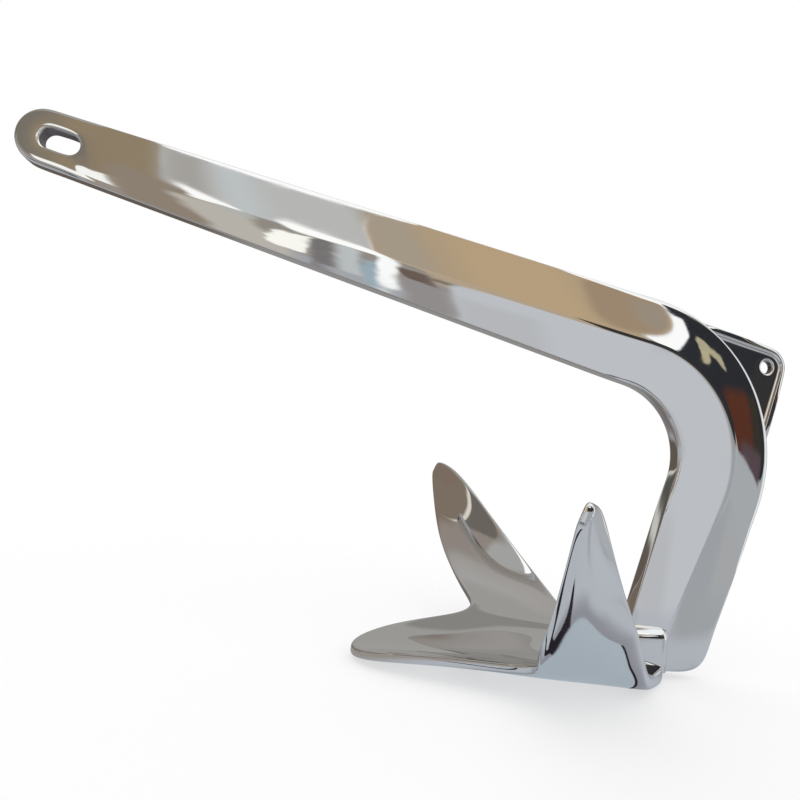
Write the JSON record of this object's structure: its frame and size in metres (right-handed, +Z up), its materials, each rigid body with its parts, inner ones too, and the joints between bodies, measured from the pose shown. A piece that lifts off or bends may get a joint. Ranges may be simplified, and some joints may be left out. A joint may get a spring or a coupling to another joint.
{
  "type": "claw anchor",
  "caption": "Mirror-polished stainless claw anchor: a bent shank with a slotted eye on a scooped three-claw fluke.",
  "frame": {"origin": "centre of the bounding box, on the underside of the fluke", "axes": "+X from the shackle eye towards the bend, Y across the claws, +Z up with the fluke's underside down"},
  "size_m": [0.5708, 0.357, 0.3481],
  "materials": {
    "polished_steel": "polished"
  },
  "bodies": {
    "root": {"anchor": "polished_steel"}
  },
  "joints": []
}
